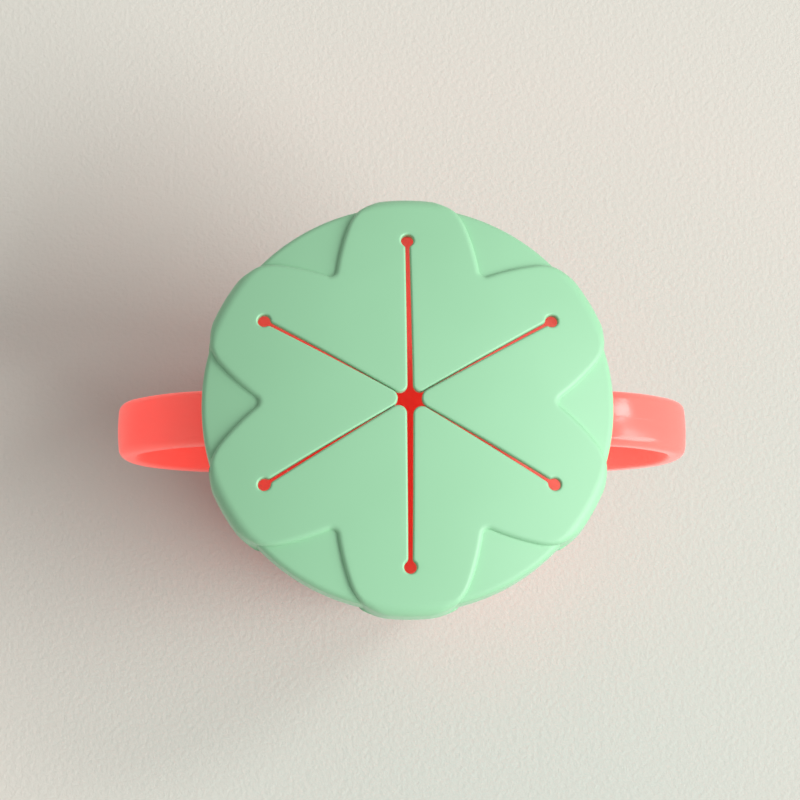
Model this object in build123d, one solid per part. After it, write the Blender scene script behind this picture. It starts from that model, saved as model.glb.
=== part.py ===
"""Toddler snack cup: a two-handled cup and a soft lid whose six flaps let a small hand in.

The frame has its origin on the table under the middle of the cup, with +Z up, +X through
the right-hand handle and -Y towards the person who looks at it. All sizes are in mm.
"""
from build123d import *
import os
from math import asin, cos, degrees, radians, sin, sqrt, tan

os.makedirs("parts", exist_ok=True)

# ------------------------------------------------------------------ driving dimensions
OVERALL_HEIGHT = 90.0      # table to the crown of the lid
LID_RADIUS = 49.0          # side of the lid, between two petals

# Lid: a low dome that rolls over into a short skirt
DOME_RADIUS = 196.0        # sphere that the top of the lid follows
SHOULDER_RADIUS = 4.0      # roll-over from the dome to the skirt
SHEET = 2.2                # thickness of the flaps and of the petals
PETAL_TOP_RELIEF = 1.0     # how far a petal stands out of the dome
PETAL_SIDE_RELIEF = 1.6    # how far it stands out of the skirt
SKIRT_WALL = 1.7
SKIRT_DEPTH = 5.6          # skirt below the top of the cup's rim
SKIRT_EDGE = 0.7           # rounding of the skirt's lower edge
PLUG_WALL = 1.6            # inner ring that seals against the inside of the rim
PLUG_DEPTH = 4.5
CEILING = 1.5              # lid above the outer corner of the cup's rim
LID_CLEARANCE = 0.1        # lid to cup, each side

# Flower: six petals, with the slits on their middle lines
PETALS = 6
VALLEY_INSET = 14.4        # side of the lid in to the valley between two petals
VALLEY_OPENING = 72.0      # degrees
VALLEY_FILLET = 1.5
PETAL_SIDE_ARC = 52.0      # radius of a petal's long side
PETAL_CORNER = 11.0        # radius where the side turns into the end

# Slits: each one runs from the centre to a round hole
HOLE_INSET = 9.5           # side of the lid in to the middle of a hole
HOLE_RADIUS = 1.5
HOLE_EDGE = 0.4            # flare at a hole's upper end
MAIN_SLIT = 1.35           # width of the two slits on the Y axis
SLIT_AT_STAR = 0.3         # width of the other four at their inner ends
SLIT_AT_HOLE = 1.0         # width of the other four at their holes
FLAP_TIP_RADIUS = 2.0
FLAP_EDGE = 0.35           # rounding of a flap's upper edge

# Flap roots: each flap bends about a straight line from hole to hole
HINGE_INSET = 1.6          # line of the holes in to the bending axis
HINGE_GAP = 0.1
PUSH_IN = 65.0             # degrees that a flap bends down into the cup
PULL_OUT = 30.0            # degrees that it bends up with the leaving hand

# Cup
BASE_RADIUS = 33.5
BASE_CORNER = 5.0
BASE_RECESS = 1.2
FOOT_RING = 8.5            # side of the base in to the inside of the foot ring
FLOOR = 3.0
FLOOR_CORNER = 7.0
CUP_WALL = 2.2
BELLY = 1.2                # how far the wall bows out of a straight cone
RIM_WALL = 3.0
RIM_STEP = 2.0             # how far the rim stands out of the wall
RIM_BAND = 6.4             # height of the upright side of the rim
RIM_EDGE = 0.7
PLUG_SEAT_GAP = 0.5        # inside ledge below the lid's inner ring

# Handles: one flat loop each side
HANDLE_STANDOFF = 20.7     # side of the lid out to the outside of the loop
HANDLE_DROP = 38.0         # crown of the lid down to the loop's widest point
HANDLE_WIDTH = 13.3
HANDLE_THICKNESS = 4.6
HANDLE_OUTER_EDGE = 2.2
HANDLE_INNER_EDGE = 0.8
TOP_CORNER = 12.5          # radius of the loop's upper outer corner
TOP_CORNER_TURN = 44.0     # degrees that this corner turns through
TOP_SWEEP = 32.0           # radius of the upper arm
BOTTOM_CORNER = 17.0
BOTTOM_CORNER_TURN = 57.0
BOTTOM_SWEEP = 38.0
HANDLE_ROOT_FILLET = 1.2
SKIRT_ROOM = 1.0           # least gap between a handle and the lid's skirt above it

# ------------------------------------------------------------------ worked-out dimensions
PITCH = 360 / PETALS
HALF_PITCH = PITCH / 2
CROWN = OVERALL_HEIGHT
GROUND_CROWN = CROWN - PETAL_TOP_RELIEF
UNDER_CROWN = CROWN - SHEET
PETAL_RADIUS = LID_RADIUS + PETAL_SIDE_RELIEF
PETAL_SHOULDER = SHOULDER_RADIUS + PETAL_SIDE_RELIEF
VALLEY_RADIUS = LID_RADIUS - VALLEY_INSET
HOLE_CIRCLE = LID_RADIUS - HOLE_INSET
HOLE_LINE = HOLE_CIRCLE * cos(radians(HALF_PITCH))
HINGE_RADIUS = HOLE_LINE - HINGE_INSET
SKIRT_INNER = LID_RADIUS - SKIRT_WALL
RIM_OUTER = SKIRT_INNER - LID_CLEARANCE
RIM_INNER = RIM_OUTER - RIM_WALL
PLUG_OUTER = RIM_INNER - LID_CLEARANCE
PLUG_INNER = PLUG_OUTER - PLUG_WALL
WALL_TOP_RADIUS = RIM_OUTER - RIM_STEP
HANDLE_REACH = LID_RADIUS + HANDLE_STANDOFF
HANDLE_MIDDLE = OVERALL_HEIGHT - HANDLE_DROP
NEAR = 0.03                # edges and corners nearer than this to a place are there


def dome_height(crown, radius):
    """Height of a dome with this crown at a distance from the lid's axis."""
    return crown - DOME_RADIUS + sqrt(DOME_RADIUS**2 - radius**2)


def shoulder_centre(crown, side, roll):
    """Middle of the arc that rolls a dome with this crown over into an upright side."""
    reach = side - roll
    rise = sqrt((DOME_RADIUS - roll) ** 2 - reach**2)
    return reach, crown - DOME_RADIUS + rise


def shoulder_height(crown, side, roll, radius):
    """Height of the roll-over at a distance from the axis."""
    reach, height = shoulder_centre(crown, side, roll)
    return height + sqrt(roll**2 - (radius - reach) ** 2)


RIM_HEIGHT = shoulder_height(GROUND_CROWN, LID_RADIUS, SHOULDER_RADIUS, SKIRT_INNER) - CEILING
SKIRT_BOTTOM = RIM_HEIGHT - SKIRT_DEPTH
PLUG_BOTTOM = RIM_HEIGHT - PLUG_DEPTH
RIM_BOTTOM = RIM_HEIGHT - RIM_BAND
WALL_TOP = RIM_BOTTOM - RIM_STEP

# A flap's root edge is straight and the dome is round, so the bending axis lies halfway
# between the dome's heights at the middle and at the ends of that edge.
HINGE_END = HINGE_RADIUS / cos(radians(HALF_PITCH))
ROOT_MIDDLE_HEIGHT = dome_height(CROWN, HINGE_RADIUS)
ROOT_END_HEIGHT = dome_height(CROWN, HINGE_END)
HINGE_HEIGHT = (ROOT_MIDDLE_HEIGHT + ROOT_END_HEIGHT - SHEET) / 2
ROOT_RADIUS = HINGE_INSET
DOME_SLOPE = degrees(asin(HINGE_RADIUS / DOME_RADIUS))


# ------------------------------------------------------------------ shared shapes
def cap(crown, side, roll, bottom):
    """Solid dome with this crown, rolled over into an upright side."""
    reach, height = shoulder_centre(crown, side, roll)
    scale = DOME_RADIUS / (DOME_RADIUS - roll)
    dome_middle = crown - DOME_RADIUS
    turn = (reach * scale, dome_middle + (height - dome_middle) * scale)
    half = reach * scale / 2
    outline = [
        ThreePointArc((0, crown), (half, dome_height(crown, half)), turn),
        ThreePointArc(turn, shoulder_point(crown, side, roll, turn), (side, height)),
        Line((side, height), (side, bottom)),
        Line((side, bottom), (0, bottom)),
        Line((0, bottom), (0, crown)),
    ]
    section = make_face(Curve() + outline)
    section = fillet(section.vertices().sort_by_distance((side, bottom))[0], SKIRT_EDGE)
    return Rot(0, 0, HALF_PITCH) * revolve(Plane.XZ * section, Axis.Z)


def shoulder_point(crown, side, roll, turn):
    """A point halfway round the roll-over, between its turn from the dome and its side."""
    reach, height = shoulder_centre(crown, side, roll)
    start = asin((turn[0] - reach) / roll)
    middle = (start + radians(90)) / 2
    return reach + roll * sin(middle), height + roll * cos(middle)


def dome_core(crown, radius, bottom):
    """Round core of this radius with a domed top."""
    half = radius / 2
    top = (radius, dome_height(crown, radius))
    outline = [
        ThreePointArc((0, crown), (half, dome_height(crown, half)), top),
        Line(top, (radius, bottom)),
        Line((radius, bottom), (0, bottom)),
        Line((0, bottom), (0, crown)),
    ]
    return revolve(Plane.XZ * make_face(Curve() + outline), Axis.Z)


def tube(outer, inner, bottom, top):
    """Upright ring."""
    ring = Circle(outer) - Circle(inner)
    return Pos(0, 0, bottom) * extrude(ring, top - bottom)


def slit_width(angle, radius):
    """Width of the slit that points this way, at a distance from the centre."""
    if angle % 180 == 90:
        return MAIN_SLIT
    share = radius / HOLE_CIRCLE
    return SLIT_AT_STAR + (SLIT_AT_HOLE - SLIT_AT_STAR) * share


def flower():
    """Outline of the six petals."""
    corner = VALLEY_RADIUS * Vector(cos(radians(HALF_PITCH)), sin(radians(HALF_PITCH)))
    heading = HALF_PITCH - VALLEY_OPENING / 2
    run = PETAL_RADIUS
    side = JernArc(corner, Vector(1, 0).rotate(Axis.Z, heading), PETAL_SIDE_ARC,
                   -degrees(run / PETAL_SIDE_ARC))
    far = side @ 1
    outline = [
        Line((0, 0), corner),
        side,
        Line(far, (far.X, -far.Y)),
        mirror(side, about=Plane.XZ),
        Line((corner.X, -corner.Y), (0, 0)),
    ]
    petal = make_face(Curve() + outline) & Circle(PETAL_RADIUS)
    ends = petal.vertices().sort_by(Axis.X)[-2:]
    petal = fillet(ends, PETAL_CORNER)
    whole = Sketch() + [Rot(0, 0, HALF_PITCH + PITCH * i) * petal for i in range(PETALS)]
    valleys = [v for v in whole.vertices() if abs(v.center().length - VALLEY_RADIUS) < NEAR]
    return fillet(valleys, VALLEY_FILLET)


def hinge_bar(radius):
    """Round bar about the +X flap's bending axis."""
    middle = (HINGE_RADIUS, 0, HINGE_HEIGHT)
    return Pos(middle) * Rot(90, 0, 0) * Cylinder(radius, 2 * HINGE_RADIUS)


def inboard(outer_x):
    """Everything from the lid's axis out to this x, as wide as the bending axis."""
    return Pos(outer_x / 2, 0, CROWN) * Box(outer_x, 2 * HINGE_RADIUS, OVERALL_HEIGHT)


def root_relief(radius, turn):
    """Room for a flap's face when the flap has turned this far, down for a positive turn.

    On the flap's side of the bending axis, it is everything inboard of the plane that
    touches the bar about the axis where the flap's outer face ends up.
    """
    side = -1 if turn > 0 else 1
    facing = turn + side * 90
    plane = Pos(HINGE_RADIUS, 0, HINGE_HEIGHT) * Rot(0, DOME_SLOPE - facing, 0)
    size = 4 * SHEET
    return plane * Pos(radius - size / 2, 0, side * size / 2) * Box(size, 2 * HINGE_RADIUS, size)


def sector():
    """Tall wedge, as wide as one flap, about +X."""
    reach = HOLE_CIRCLE + 2 * HOLE_RADIUS
    far = (reach, reach * tan(radians(HALF_PITCH)))
    plan = make_face(Polyline((0, 0), far, (far[0], -far[1]), close=True))
    return extrude(plan, 2 * OVERALL_HEIGHT)


def flap_room():
    """Space that the +X flap needs in the lid, at rest and bent either way."""
    reach = ROOT_RADIUS + HINGE_GAP
    room = inboard(HINGE_RADIUS) + hinge_bar(reach)
    return room + root_relief(reach, PUSH_IN) + root_relief(reach, -PULL_OUT)


# ------------------------------------------------------------------ lid
def hole():
    """Round hole on +X, square to the dome, with a flared upper end."""
    slope = degrees(asin(HOLE_CIRCLE / DOME_RADIUS))
    place = Pos(HOLE_CIRCLE, 0, dome_height(CROWN, HOLE_CIRCLE)) * Rot(0, slope, 0)
    flare = Cone(HOLE_RADIUS - HOLE_EDGE, HOLE_RADIUS + HOLE_EDGE, 2 * HOLE_EDGE)
    return place * (Cylinder(HOLE_RADIUS, 4 * SHEET) + Pos(0, 0, HOLE_EDGE / 2) * flare)


def lid():
    """Rim of the lid: flower relief outside, channel for the cup's rim underneath."""
    body = cap(GROUND_CROWN, LID_RADIUS, SHOULDER_RADIUS, SKIRT_BOTTOM)
    petals = cap(CROWN, PETAL_RADIUS, PETAL_SHOULDER, SKIRT_BOTTOM)
    petals &= extrude(flower(), 2 * OVERALL_HEIGHT)
    body += petals
    body -= dome_core(UNDER_CROWN, PLUG_INNER, SKIRT_BOTTOM)
    body -= tube(PLUG_OUTER, PLUG_INNER, SKIRT_BOTTOM, PLUG_BOTTOM)
    body -= tube(SKIRT_INNER, PLUG_OUTER, SKIRT_BOTTOM, RIM_HEIGHT)
    opening = flap_room() & sector()
    drill = hole()
    for i in range(PETALS):
        body -= Rot(0, 0, PITCH * i) * opening
        body -= Rot(0, 0, PITCH * i + HALF_PITCH) * drill
    return body


# ------------------------------------------------------------------ flaps
def flap_plan(angle):
    """Outline of the flap that points this way, turned to lie about +X."""
    corners = []
    for turn in (HALF_PITCH, -HALF_PITCH):
        along = Vector(1, 0).rotate(Axis.Z, turn)
        inwards = along.rotate(Axis.Z, -90 if turn > 0 else 90)
        near = inwards * (slit_width(angle + turn, 0) / 2)
        far = along * HOLE_CIRCLE + inwards * (slit_width(angle + turn, HOLE_CIRCLE) / 2)
        corners.append((near, far))
    (near_left, far_left), (near_right, far_right) = corners
    apex = crossing(near_left, far_left, near_right, far_right)
    root = HINGE_RADIUS + 2 * ROOT_RADIUS
    left = at_x(near_left, far_left, root)
    right = at_x(near_right, far_right, root)
    plan = make_face(Polyline(apex, right, left, close=True))
    tip = plan.vertices().sort_by(Axis.X)[0]
    plan = fillet(tip, FLAP_TIP_RADIUS)
    for turn in (HALF_PITCH, -HALF_PITCH):
        plan -= Rot(0, 0, turn) * Pos(HOLE_CIRCLE, 0) * Circle(HOLE_RADIUS)
    return Sketch() + plan.faces().sort_by(Axis.X)[0]


def at_x(start, end, x):
    """Point of a straight line at this x."""
    share = (x - start.X) / (end.X - start.X)
    return start + (end - start) * share


def crossing(a, b, c, d):
    """Point where the line a-b meets the line c-d."""
    ab, cd, ac = b - a, d - c, c - a
    share = (ac.X * cd.Y - ac.Y * cd.X) / (ab.X * cd.Y - ab.Y * cd.X)
    return a + ab * share


def flap(angle):
    """Soft flap of the domed sheet, between two slits, rounded about its bending axis."""
    sheet = dome_core(CROWN, LID_RADIUS, 0) - dome_core(UNDER_CROWN, LID_RADIUS, 0)
    body = sheet & extrude(flap_plan(angle), 2 * OVERALL_HEIGHT)
    body &= inboard(HINGE_RADIUS) + hinge_bar(ROOT_RADIUS)
    body = fillet(upper_free_edges(body), FLAP_EDGE)
    return Rot(0, 0, angle) * body


def upper_free_edges(body):
    """The edges of a flap's upper face along its two slits and round its tip."""
    found = []
    for edge in body.edges():
        middle = edge @ 0.5
        radius = sqrt(middle.X**2 + middle.Y**2)
        upper = abs(middle.Z - dome_height(CROWN, radius)) < NEAR
        if upper and radius < HINGE_RADIUS - HINGE_INSET:
            found.append(edge)
    return found


# ------------------------------------------------------------------ cup
def cup_section(points, belly_from, belly_to, belly):
    """Half-section whose one long side bows outwards."""
    edges = []
    for start, end in zip(points, points[1:] + points[:1]):
        if (start, end) == (belly_from, belly_to):
            edges.append(SagittaArc(start, end, belly))
        else:
            edges.append(Line(start, end))
    return make_face(Curve() + edges)


def cup_outside():
    """Solid cup: foot ring, bowed side and rim."""
    foot = (BASE_RADIUS, 0)
    top = (WALL_TOP_RADIUS, WALL_TOP)
    points = [
        (0, BASE_RECESS),
        (BASE_RADIUS - FOOT_RING, BASE_RECESS),
        (BASE_RADIUS - FOOT_RING, 0),
        foot,
        top,
        (RIM_OUTER, RIM_BOTTOM),
        (RIM_OUTER, RIM_HEIGHT),
        (0, RIM_HEIGHT),
    ]
    section = cup_section(points, foot, top, -BELLY)
    section = fillet(section.vertices().group_by(Axis.Y)[0].sort_by(Axis.X)[-1], BASE_CORNER)
    return revolve(Plane.XZ * section, Axis.Z)


def cup_inside():
    """The space in the cup, with a wider seat at its mouth for the lid's inner ring."""
    floor = (BASE_RADIUS - CUP_WALL, BASE_RECESS + FLOOR)
    top = (WALL_TOP_RADIUS - CUP_WALL, WALL_TOP)
    ledge = PLUG_BOTTOM - PLUG_SEAT_GAP
    above = RIM_HEIGHT + RIM_BAND
    points = [
        (0, BASE_RECESS + FLOOR),
        floor,
        top,
        (WALL_TOP_RADIUS - CUP_WALL, ledge),
        (RIM_INNER, ledge),
        (RIM_INNER, above),
        (0, above),
    ]
    section = cup_section(points, floor, top, -BELLY)
    section = fillet(section.vertices().sort_by_distance(floor)[0], FLOOR_CORNER)
    return revolve(Plane.XZ * section, Axis.Z)


def loop_half(corner, turn, sweep, side):
    """Arcs of the upper (side 1) or lower (side -1) half of a handle, widest point first."""
    corner_middle = Vector(HANDLE_REACH - corner, HANDLE_MIDDLE)
    out = Vector(1, 0).rotate(Axis.Z, side * turn)
    sweep_middle = corner_middle + out * (corner - sweep)
    return [
        CenterArc(corner_middle, corner, 0, side * turn),
        CenterArc(sweep_middle, sweep, side * turn, side * (90 - turn)),
    ]


def handle():
    """Flat loop on the +X side. Its inner end reaches into the cup, where it is cut away."""
    upper = loop_half(TOP_CORNER, TOP_CORNER_TURN, TOP_SWEEP, 1)
    lower = loop_half(BOTTOM_CORNER, BOTTOM_CORNER_TURN, BOTTOM_SWEEP, -1)
    inner_x = BASE_RADIUS / 2
    top, bottom = upper[1] @ 1, lower[1] @ 1
    outline = upper + lower + [
        Line(top, (inner_x, top.Y)),
        Line((inner_x, top.Y), (inner_x, bottom.Y)),
        Line((inner_x, bottom.Y), bottom),
    ]
    outer = Plane.XZ * make_face(Curve() + outline)
    inner = offset(outer, -HANDLE_THICKNESS)
    body = extrude(outer - inner, HANDLE_WIDTH / 2, both=True)
    body = fillet(side_edges(body, outer), HANDLE_OUTER_EDGE)
    body = fillet(side_edges(body, inner), HANDLE_INNER_EDGE)
    return body - tube(HANDLE_REACH, RIM_OUTER, SKIRT_BOTTOM - SKIRT_ROOM, CROWN)


def side_edges(body, outline):
    """The edges of a handle's two side faces that follow this outline."""
    wire = outline.face().outer_wire()
    found = []
    for edge in body.edges():
        middle = edge @ 0.5
        at_side = abs(abs(middle.Y) - HANDLE_WIDTH / 2) < NEAR
        if at_side and wire.distance_to((middle.X, 0, middle.Z)) < NEAR:
            found.append(edge)
    return found


def cup():
    """Cup with its two handles, one moulding."""
    body = cup_outside()
    body = fillet(body.edges().sort_by(Axis.Z)[-1], RIM_EDGE)
    right = handle()
    left = mirror(right, about=Plane.YZ)
    body = body + right + left
    body = fillet(handle_roots(body), HANDLE_ROOT_FILLET)
    body -= cup_inside()
    return body


def handle_roots(body):
    """The edges where the two handles meet the cup's wall."""
    found = []
    for edge in body.edges():
        middle = edge @ 0.5
        radius = sqrt(middle.X**2 + middle.Y**2)
        near_handle = abs(middle.Y) < HANDLE_WIDTH / 2 + NEAR
        at_wall = BASE_RADIUS < radius < WALL_TOP_RADIUS
        if near_handle and at_wall and BASE_CORNER < middle.Z < WALL_TOP:
            found.append(edge)
    return found


# ------------------------------------------------------------------ write the sub-parts
FLAP_ANGLES = {
    "flap_right": 0,
    "flap_back_right": 60,
    "flap_back_left": 120,
    "flap_left": 180,
    "flap_front_left": 240,
    "flap_front_right": 300,
}

pieces = {"cup": cup(), "lid": lid()}
for name, angle in FLAP_ANGLES.items():
    pieces[name] = flap(angle)

for name, piece in pieces.items():
    export_step(piece, f"parts/{name}.step")

print("bending axes: distance %.3f, height %.3f" % (HINGE_RADIUS, HINGE_HEIGHT))
print("rim height %.3f, lid bottom %.3f" % (RIM_HEIGHT, SKIRT_BOTTOM))
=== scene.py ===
from math import acos, asin, atan2, ceil, cos, degrees, hypot, pi, radians, sin, sqrt

import bmesh
import bpy
import numpy as np
from mathutils import Matrix, Vector
from mathutils.geometry import delaunay_2d_cdt


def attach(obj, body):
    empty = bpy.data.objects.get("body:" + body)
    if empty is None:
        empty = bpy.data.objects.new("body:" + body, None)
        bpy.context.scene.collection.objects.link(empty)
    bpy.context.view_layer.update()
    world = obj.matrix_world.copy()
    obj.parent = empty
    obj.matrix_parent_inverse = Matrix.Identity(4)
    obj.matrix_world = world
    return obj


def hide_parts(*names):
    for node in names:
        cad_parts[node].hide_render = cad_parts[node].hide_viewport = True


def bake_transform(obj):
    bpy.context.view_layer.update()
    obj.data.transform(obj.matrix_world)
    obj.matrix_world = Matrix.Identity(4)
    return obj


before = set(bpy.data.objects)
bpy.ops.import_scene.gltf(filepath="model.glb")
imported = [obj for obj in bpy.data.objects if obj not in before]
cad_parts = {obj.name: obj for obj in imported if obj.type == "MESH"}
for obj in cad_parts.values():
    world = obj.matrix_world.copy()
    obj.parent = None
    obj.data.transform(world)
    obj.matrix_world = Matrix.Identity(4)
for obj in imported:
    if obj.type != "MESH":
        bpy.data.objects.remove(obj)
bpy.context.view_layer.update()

# A toddler's snack cup seen from above. The lid and its flaps are made here as one soft
# moulding: a flat pattern of one sixth is laid out in millimetres, domed, given rounded
# edges, and then a node tree raises the petals and repeats the sixth round the axis.
MM = 0.001

# ------------------------------------------------------------------ sizes, in millimetres
CROWN = 90.0
DOME_RADIUS = 196.0         # sphere that the petals and the flaps follow
GROUND_RADIUS = 170.0       # sphere of the lid between the petals
GROUND_DROP = 0.52          # crown of the petals' sphere down to the ground's
LID_RADIUS = 49.0
SHOULDER = 1.6
PETAL_SIDE_RELIEF = 1.6
SHEET = 2.2
SKIRT_INNER = 47.3
SKIRT_BOTTOM = 75.825
SKIRT_EDGE = 0.7
RIM_TOP = 81.425
PLUG_OUTER = 44.1
PLUG_INNER = 42.5
PLUG_BOTTOM = 76.925
INNER_CORNER = 0.3          # rounding of the lid's hidden corners
UNDERSIDE_REACH = 42.2      # the smooth underside ends just inside the sealing ring

HALF_PITCH = radians(30)
VALLEY_REACH = 34.6         # middle of the lid to the corner between two petal sides
VALLEY_OPENING = radians(72)
VALLEY_FILLET = 1.5
SIDE_ARC = 52.0             # long side of a petal
CORNER_ARC = 11.0           # where that side turns into the petal's end
RELIEF_WIDTH = 1.2          # soft rounding of a petal's upper edge

HOLE_CIRCLE = 39.46
HOLE_RADIUS = 1.5
NECK = 1.0                  # rounding where a slit opens into its hole
EDGE_ROUND = 0.55           # upper edges of the slits, holes and flap tips
UNDER_ROUND = 0.3
SEAM = HOLE_CIRCLE * cos(HALF_PITCH)   # line from hole to hole, where a flap joins the rim
BEND_END = 31.0             # BEND_END = 31.0 # finer triangles between the seam and this line; a flap sags only inside it

# Cup and handles
BASE_RADIUS = 33.5
BASE_CORNER = 5.0
BASE_RECESS = 1.2
FOOT_INNER = 25.0
FLOOR_TOP = 4.2
FLOOR_CORNER = 7.0
WALL_TOP = 73.025
WALL_TOP_RADIUS = 45.2
WALL_TOP_INNER = 43.0
BASE_INNER = 31.3
BELLY = 1.2
RIM_OUTER = 47.2
RIM_INNER = 44.2
RIM_BOTTOM = 75.025
RIM_EDGE = 0.7
SEAT = 76.425
HANDLE_REACH = 69.7
HANDLE_MIDDLE = 52.0
HANDLE_WIDTH = 13.3
HANDLE_THICKNESS = 4.6
HANDLE_OUTER_EDGE = 2.2
HANDLE_INNER_EDGE = 0.8
HANDLE_CROWN = 0.22         # the outside of the loop is this much higher along its middle
UPPER_ARCS = ((12.5, 44.0), (32.0, 46.0))      # radius and turn, widest point first
LOWER_ARCS = ((17.0, 57.0), (38.0, 33.0))
UPPER_ROOT = 43.4           # the arms end in the thickness of the cup's wall
LOWER_ROOT = 39.0
ROOT_FILLET = 1.2

# Each slit by its angle: half its width at the middle of the lid and at its hole, and how
# far it drifts to its left (seen from the middle) at the middle of the lid
SLITS = {
    30: (0.05, 0.50, 0.0),
    90: (0.68, 0.50, -0.22),
    150: (0.05, 0.50, 0.0),
    210: (0.05, 0.50, -0.45),
    270: (0.78, 0.53, 0.12),
    330: (0.12, 0.52, 0.40),
}
EVEN_SLIT = (0.12, 0.50, 0.0)


# ------------------------------------------------------------------ profile of the lid
def dome(crown, radius, sphere=DOME_RADIUS):
    """Height of the domed top at a distance from the axis."""
    return crown - sphere + sqrt(sphere**2 - radius**2)


def ground(radius):
    """Height of the lid between the petals."""
    return dome(CROWN - GROUND_DROP, radius, GROUND_RADIUS)


PETAL_SIDE = LID_RADIUS + PETAL_SIDE_RELIEF
SHOULDER_REACH = LID_RADIUS - SHOULDER
TURN = SHOULDER_REACH * GROUND_RADIUS / (GROUND_RADIUS - SHOULDER)
TURN_ANGLE = asin((TURN - SHOULDER_REACH) / SHOULDER)
SHOULDER_HEIGHT = ground(TURN) - SHOULDER * cos(TURN_ANGLE)
PETAL_ROLL = SHOULDER + PETAL_SIDE_RELIEF
PETAL_TURN = SHOULDER_REACH * DOME_RADIUS / (DOME_RADIUS - PETAL_ROLL)
PETAL_ROLL_HEIGHT = dome(CROWN, PETAL_TURN) - sqrt(
    PETAL_ROLL**2 - (PETAL_TURN - SHOULDER_REACH) ** 2
)
LIFT_START = 38.0           # from here out, petals also lean outwards
SHOULDER_END = TURN + SHOULDER * (pi / 2 - TURN_ANGLE)
SIDE_END = SHOULDER_END + SHOULDER_HEIGHT - SKIRT_BOTTOM - SKIRT_EDGE


def smooth(share):
    share = min(max(share, 0.0), 1.0)
    return share * share * (3 - 2 * share)


def skin(reach):
    """Radius and height of the lid's outer skin, and how a petal moves it out and up.

    Reach runs from the axis over the dome and the shoulder and down the side.
    """
    if reach <= TURN:
        out = (PETAL_TURN - TURN) * smooth((reach - LIFT_START) / (TURN - LIFT_START))
        return reach, ground(reach), out, dome(CROWN, reach + out) - ground(reach)
    if reach <= SHOULDER_END:
        angle = TURN_ANGLE + (reach - TURN) / SHOULDER
        rise = PETAL_ROLL_HEIGHT - SHOULDER_HEIGHT + PETAL_SIDE_RELIEF * cos(angle)
        return (
            SHOULDER_REACH + SHOULDER * sin(angle),
            SHOULDER_HEIGHT + SHOULDER * cos(angle),
            PETAL_SIDE_RELIEF * sin(angle),
            rise,
        )
    share = (reach - SHOULDER_END) / (SIDE_END - SHOULDER_END)
    drop = (PETAL_ROLL_HEIGHT - SHOULDER_HEIGHT) * (1 - smooth(share))
    return LID_RADIUS, SHOULDER_HEIGHT - (reach - SHOULDER_END), PETAL_SIDE_RELIEF, drop


def reach_of(radius):
    """Reach at which the outer skin has this radius, up to the side."""
    if radius <= TURN:
        return radius
    share = min((radius - SHOULDER_REACH) / SHOULDER, 1.0)
    return TURN + SHOULDER * (asin(share) - TURN_ANGLE)


def rounding(distance, radius):
    """How far a rounded edge lies below the surface, at a distance in from the edge."""
    if distance >= radius:
        return 0.0
    if distance < 1e-6:
        return radius
    return radius - sqrt(radius**2 - (radius - distance) ** 2)


EDGE_ROWS = [EDGE_ROUND * (1 - cos(radians(a))) for a in (0, 16, 32, 48, 64, 78, 90)]


# ------------------------------------------------------------------ lines in the plan
def polar(radius, angle):
    return np.array([radius * cos(angle), radius * sin(angle)])


def arc(centre, radius, start, end, step):
    """Points along an arc, both ends included."""
    count = max(2, ceil(abs(end - start) * radius / step))
    angles = np.linspace(start, end, count + 1)
    return [centre + polar(radius, a) for a in angles]


def line(start, end, step):
    count = max(1, ceil(np.linalg.norm(end - start) / step))
    return [start + (end - start) * t for t in np.linspace(0, 1, count + 1)]


def angle_of(vector):
    return atan2(vector[1], vector[0])


def mirrored(points):
    return [np.array([p[0], -p[1]]) for p in reversed(points)]


def joined(*runs):
    """One line through several runs, without doubled points."""
    out = []
    for run in runs:
        for p in run:
            if not out or np.linalg.norm(out[-1] - p) > 1e-6:
                out.append(p)
    return out


# Circles that a petal's outline is made of, in the petal's own frame (its axis along +X)
VALLEY_POINT = polar(VALLEY_REACH, HALF_PITCH)
SIDE_CENTRE = VALLEY_POINT + polar(SIDE_ARC, HALF_PITCH - VALLEY_OPENING / 2 - pi / 2)


def corner_centre():
    """Middle of the arc that is inside both the petal's side and its outer end."""
    away = np.linalg.norm(SIDE_CENTRE)
    unit = SIDE_CENTRE / away
    outer, inner = PETAL_SIDE - CORNER_ARC, SIDE_ARC - CORNER_ARC
    along = (outer**2 + away**2 - inner**2) / (2 * away)
    return unit * along + np.array([-unit[1], unit[0]]) * sqrt(outer**2 - along**2)


def valley_centre():
    """Middle of the small arc between two petals, on the line between them."""
    unit = polar(1, HALF_PITCH)
    half = unit @ SIDE_CENTRE
    away = SIDE_CENTRE @ SIDE_CENTRE - (SIDE_ARC + VALLEY_FILLET) ** 2
    return unit * (half + sqrt(half**2 - away))


CORNER_CENTRE = corner_centre()
VALLEY_CENTRE = valley_centre()


def petal_line(inset):
    """Line at this distance inside the petals' outline, from one side of the skirt over
    the valley between two petals to the other side, in (reach, angle) laid out flat."""
    side = SIDE_ARC - inset
    corner = CORNER_ARC - inset
    to_valley = angle_of(VALLEY_CENTRE - SIDE_CENTRE)
    to_corner = angle_of(CORNER_CENTRE - SIDE_CENTRE)
    facing = acos(
        (LID_RADIUS**2 - CORNER_CENTRE @ CORNER_CENTRE - corner**2)
        / (2 * corner * np.linalg.norm(CORNER_CENTRE))
    )
    leave = angle_of(CORNER_CENTRE) + facing
    valley = arc(VALLEY_CENTRE, VALLEY_FILLET + inset, HALF_PITCH - pi, to_valley - pi, 0.25)
    long_side = arc(SIDE_CENTRE, side, to_valley, to_corner, 0.8)
    end = arc(CORNER_CENTRE, corner, to_corner, leave, 0.45)
    flat = []
    for p in joined(valley, long_side, end):
        radius = min(np.linalg.norm(p), LID_RADIUS)
        flat.append(polar(reach_of(radius), HALF_PITCH - angle_of(p)))
    last = angle_of(flat[-1])
    flat = joined(flat, line(flat[-1], polar(SIDE_END, last), 1.0))
    return joined(mirrored(flat), flat), last


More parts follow.
